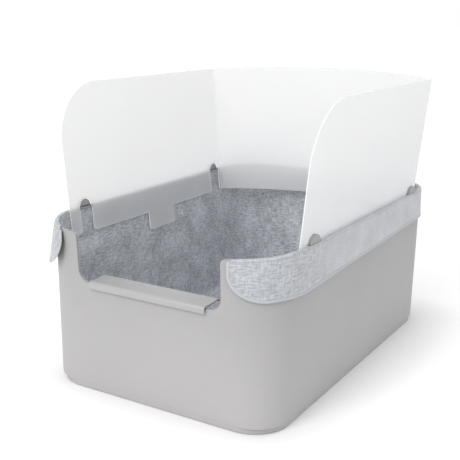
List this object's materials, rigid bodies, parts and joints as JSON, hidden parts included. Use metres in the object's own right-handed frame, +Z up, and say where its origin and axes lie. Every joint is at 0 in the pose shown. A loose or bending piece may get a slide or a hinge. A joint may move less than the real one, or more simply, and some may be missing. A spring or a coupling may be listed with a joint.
{
  "type": "cat litter box",
  "caption": "Open-top cat litter box: tapered bin with a low front entry, clip-on entry ledge, lift-out woven liner folded over the rim, and a frosted folding shield.",
  "frame": {"origin": "centre of the underside, on the surface the box stands on", "axes": "+Z up, -Y towards the entry, +X across the box"},
  "size_m": [0.41, 0.5697, 0.423],
  "materials": {
    "bin_plastic": "fine matte moulded polypropylene, light warm grey",
    "ledge_plastic": "satin moulded plastic, light grey",
    "liner_cloth": "coated woven tarpaulin, pale blue grey",
    "liner_hem": "welded smooth border of the liner",
    "shield_sheet": "frosted translucent polypropylene sheet"
  },
  "bodies": {
    "bin": {"bin_shell": "bin_plastic"},
    "liner": {"liner_floor": "liner_cloth", "liner_wall": "liner_cloth", "liner_front_flap": "liner_cloth", "liner_slit_patches": "liner_hem", "liner_collar_left": "liner_cloth", "liner_collar_right": "liner_cloth", "collar_hem_left": "liner_hem", "collar_hem_right": "liner_hem"},
    "ledge": {"entry_ledge": "ledge_plastic"},
    "shield_back": {"shield_back_panel": "shield_sheet", "shield_crease_left": "shield_sheet", "shield_crease_right": "shield_sheet"},
    "shield_left": {"shield_left_panel": "shield_sheet"},
    "shield_right": {"shield_right_panel": "shield_sheet"}
  },
  "joints": [
    {"name": "liner_lift", "type": "slide", "parent": "bin", "child": "liner", "axis": [0, 0, 1], "range_m": [0, 0.28]},
    {"name": "ledge_lift", "type": "slide", "parent": "liner", "child": "ledge", "axis": [0, 0, 1], "range_m": [0, 0.08]},
    {"name": "shield_lift", "type": "slide", "parent": "liner", "child": "shield_back", "axis": [0, 0, 1], "range_m": [0, 0.12]},
    {"name": "shield_left_fold", "type": "hinge", "parent": "shield_back", "child": "shield_left", "pos_m": [-0.18228, 0.1995, 0.198], "axis": [-0.0995, 0, 0.995], "range_deg": [0, 25]},
    {"name": "shield_right_fold", "type": "hinge", "parent": "shield_back", "child": "shield_right", "pos_m": [0.18228, 0.1995, 0.198], "axis": [-0.0995, 0, -0.995], "range_deg": [0, 25]}
  ]
}
